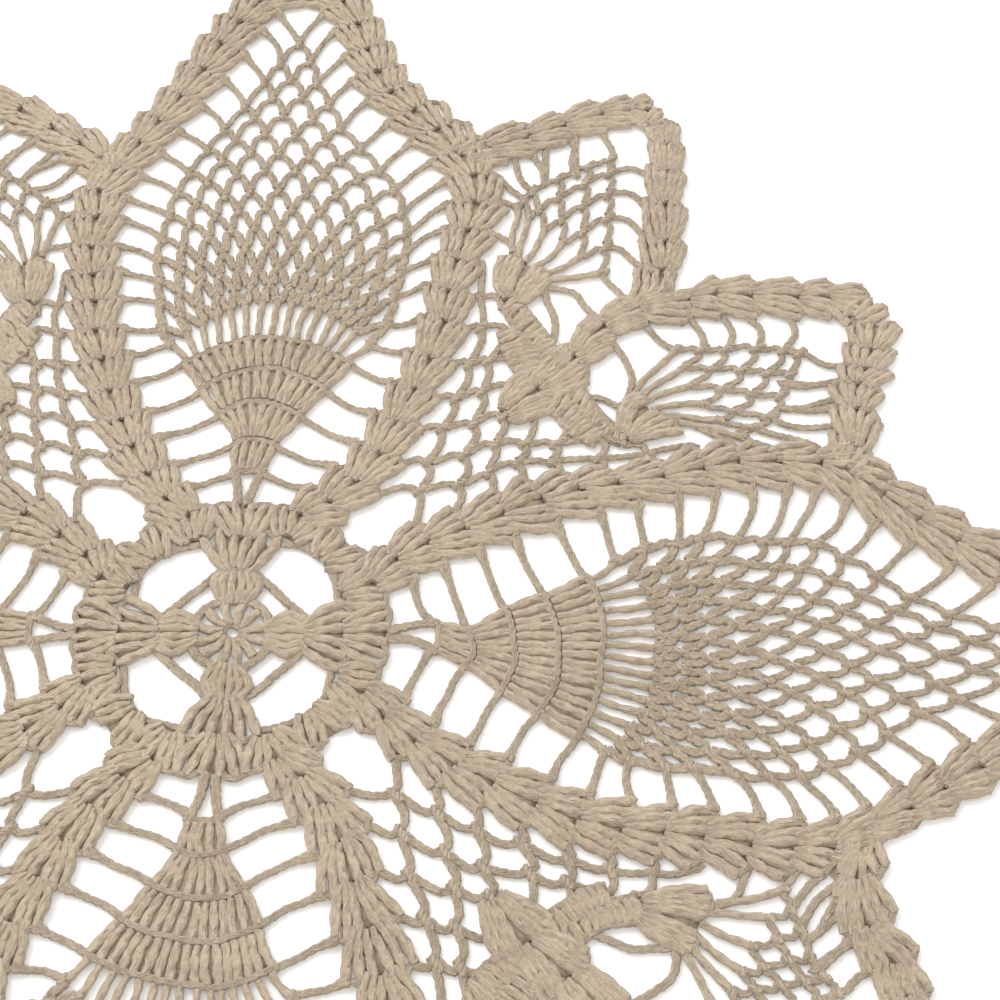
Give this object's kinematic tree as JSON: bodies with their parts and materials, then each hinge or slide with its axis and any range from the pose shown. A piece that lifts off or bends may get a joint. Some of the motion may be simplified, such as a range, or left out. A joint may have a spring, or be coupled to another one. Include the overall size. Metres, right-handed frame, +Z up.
{
  "type": "lace doily",
  "caption": "Flat crocheted cotton doily with big and small pineapple motifs round a medallion, openwork between, scalloped edge.",
  "frame": {"origin": "centre of the medallion on the under side, where the doily rests", "axes": "+Z up out of the right side of the cloth, +X and +Y each along the axis of one big pineapple, through its tip and outer point"},
  "size_m": [0.4511, 0.4512, 0.0022],
  "materials": {
    "cotton": "matte"
  },
  "bodies": {
    "root": {"doily": "cotton"}
  },
  "joints": []
}
